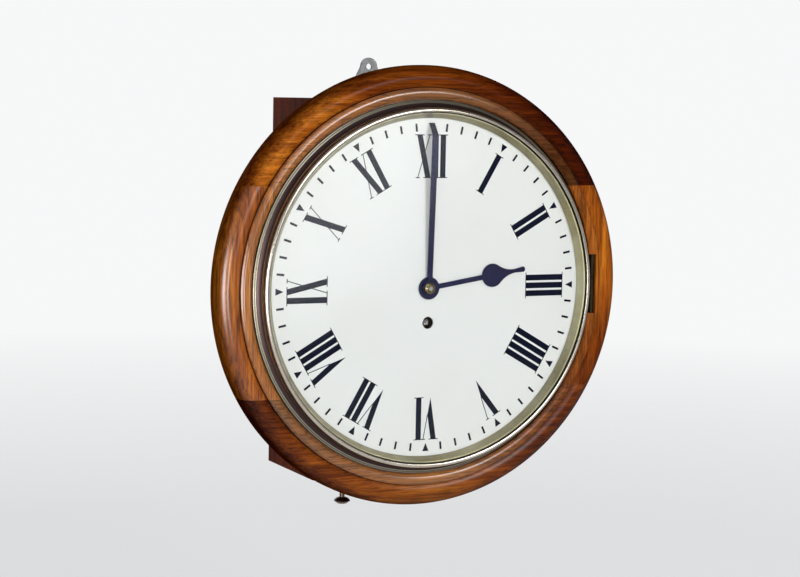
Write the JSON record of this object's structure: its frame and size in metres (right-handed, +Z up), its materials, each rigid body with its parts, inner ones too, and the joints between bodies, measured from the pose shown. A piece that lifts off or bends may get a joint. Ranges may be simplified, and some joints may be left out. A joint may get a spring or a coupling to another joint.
{
  "type": "railway clock",
  "caption": "Round wall clock: oak surround, hinged brass bezel over a white dial, blued hands, fusee movement and pendulum in a back box.",
  "frame": {"origin": "on the wall plane, behind the middle of the dial", "axes": "+X to the right as the dial is read, +Y into the wall, +Z up"},
  "size_m": [0.381, 0.1443, 0.3955],
  "materials": {
    "oak_level": "stained oak, grain level, gloss varnish",
    "oak_upright": "stained oak, grain upright, gloss varnish",
    "mahogany": "red-brown mahogany, satin",
    "peg_wood": "plain turned hardwood",
    "bezel_brass": "polished, lightly toned",
    "sight_brass": "toned, satin",
    "movement_brass": "brushed",
    "aged_brass": "dulled",
    "steel": "grey, fine brushed",
    "blued_steel": "heat-blued",
    "dial_white": "semi-gloss white paint",
    "glass": "clear, polished",
    "gut": "twisted gut"
  },
  "bodies": {
    "case": {"surround_top": "oak_level", "surround_bottom": "oak_level", "surround_left": "oak_upright", "surround_right": "oak_upright", "surround_lugs": "mahogany", "case_pegs": "peg_wood", "box_side_left": "mahogany", "box_side_right": "mahogany", "box_top": "mahogany", "box_bottom": "mahogany", "back_board": "mahogany", "hanger_plate": "steel", "wood_screws": "steel", "door_hinge_fixed": "aged_brass", "dial": "dial_white", "dial_feet": "movement_brass", "cross_pins": "steel", "bezel_hinge_fixed": "movement_brass", "bezel_catch": "movement_brass", "front_plate": "movement_brass", "back_plate": "movement_brass", "plate_pillars": "movement_brass", "back_cock": "movement_brass", "barrel_arbor": "steel", "setup_click": "steel", "mainspring": "steel", "fusee_line": "gut", "hour_bridge": "movement_brass"},
    "bezel_door": {"bezel": "bezel_brass", "glass": "glass", "sight_ring": "sight_brass", "bezel_hinge_moving": "movement_brass"},
    "foot_door": {"bottom_door": "mahogany", "door_hinge_moving": "aged_brass"},
    "catch": {"door_knob": "aged_brass"},
    "minute": {"cannon_pinion": "steel", "minute_hand": "blued_steel"},
    "motion": {"minute_wheel": "movement_brass"},
    "hour": {"hour_wheel": "movement_brass", "hour_hand": "blued_steel"},
    "escape": {"escape_arbor": "steel", "escape_wheel": "movement_brass"},
    "third": {"third_arbor": "steel", "third_wheel": "movement_brass"},
    "centre": {"centre_arbor": "steel", "centre_wheel": "movement_brass", "hand_collet": "movement_brass"},
    "great": {"great_wheel": "movement_brass", "fusee_click": "steel"},
    "wound": {"fusee": "movement_brass", "fusee_arbor": "steel"},
    "drum": {"barrel": "movement_brass"},
    "pendulum": {"pendulum_rod": "steel", "suspension_spring": "steel"},
    "pallets": {"anchor": "steel", "pallet_arbor": "steel"},
    "bob": {"pendulum_bob": "movement_brass"},
    "nut": {"rating_nut": "movement_brass"}
  },
  "joints": [
    {"name": "bezel_hinge", "type": "hinge", "parent": "case", "child": "bezel_door", "pos_m": [0.1632, -0.1304, 0], "axis": [0, 0, 1], "range_deg": [0, 105]},
    {"name": "bottom_door_hinge", "type": "hinge", "parent": "case", "child": "foot_door", "pos_m": [0.06, -0.057, -0.1688], "axis": [0, -1, 0], "range_deg": [0, 95]},
    {"name": "bottom_catch_turn", "type": "hinge", "parent": "foot_door", "child": "catch", "pos_m": [-0.044, -0.057, -0.167], "axis": [0, 0, -1], "range_deg": [0, 90]},
    {"name": "hand_setting", "type": "hinge", "parent": "case", "child": "minute", "pos_m": [0, -0.137, 0], "axis": [0, 1, 0], "continuous": true},
    {"name": "motion_wheel_turn", "type": "hinge", "parent": "case", "child": "motion", "pos_m": [-0.01273, -0.115, 0.01273], "axis": [0, 1, 0], "continuous": true},
    {"name": "hour_hand_turn", "type": "hinge", "parent": "case", "child": "hour", "pos_m": [0, -0.135, 0], "axis": [0, 1, 0], "continuous": true},
    {"name": "escape_turn", "type": "hinge", "parent": "case", "child": "escape", "pos_m": [0, -0.088, 0.03199], "axis": [0, 1, 0], "continuous": true},
    {"name": "third_turn", "type": "hinge", "parent": "case", "child": "third", "pos_m": [0.0145, -0.072, 0.01753], "axis": [0, 1, 0], "continuous": true},
    {"name": "centre_turn", "type": "hinge", "parent": "case", "child": "centre", "pos_m": [0, -0.104, 0], "axis": [0, 1, 0], "continuous": true},
    {"name": "great_turn", "type": "hinge", "parent": "case", "child": "great", "pos_m": [0, -0.064, -0.03], "axis": [0, 1, 0], "continuous": true},
    {"name": "winding", "type": "hinge", "parent": "great", "child": "wound", "pos_m": [0, -0.12, -0.03], "axis": [0, 1, 0], "range_deg": [-1800, 1800]},
    {"name": "barrel_turn", "type": "hinge", "parent": "case", "child": "drum", "pos_m": [-0.052, -0.08, -0.04], "axis": [0, 1, 0], "range_deg": [-1100, 1100]},
    {"name": "pendulum_swing", "type": "hinge", "parent": "case", "child": "pendulum", "pos_m": [0, -0.038, 0.05744], "axis": [0, 1, 0], "range_deg": [-2.5, 2.5]},
    {"name": "pallet_rock", "type": "hinge", "parent": "case", "child": "pallets", "pos_m": [0, -0.088, 0.05744], "axis": [0, 1, 0], "range_deg": [-2.5, 2.5]},
    {"name": "bob_rating", "type": "slide", "parent": "pendulum", "child": "bob", "axis": [0, 0, 1], "range_m": [-0.005, 0.005]},
    {"name": "nut_turn", "type": "hinge", "parent": "bob", "child": "nut", "pos_m": [0, -0.038, -0.14316], "axis": [0, 0, 1], "range_deg": [-2600, 2600]}
  ],
  "couplings": [
    {"joint": "motion_wheel_turn", "follows": "hand_setting", "ratio": -0.33333},
    {"joint": "hour_hand_turn", "follows": "hand_setting", "ratio": 0.083333},
    {"joint": "third_turn", "follows": "escape_turn", "ratio": -0.083333},
    {"joint": "centre_turn", "follows": "escape_turn", "ratio": 0.0069444},
    {"joint": "great_turn", "follows": "escape_turn", "ratio": -0.0005787},
    {"joint": "barrel_turn", "follows": "winding", "ratio": 0.6},
    {"joint": "pallet_rock", "follows": "pendulum_swing", "ratio": 1},
    {"joint": "nut_turn", "follows": "bob_rating", "rad_per_m": 8976}
  ]
}
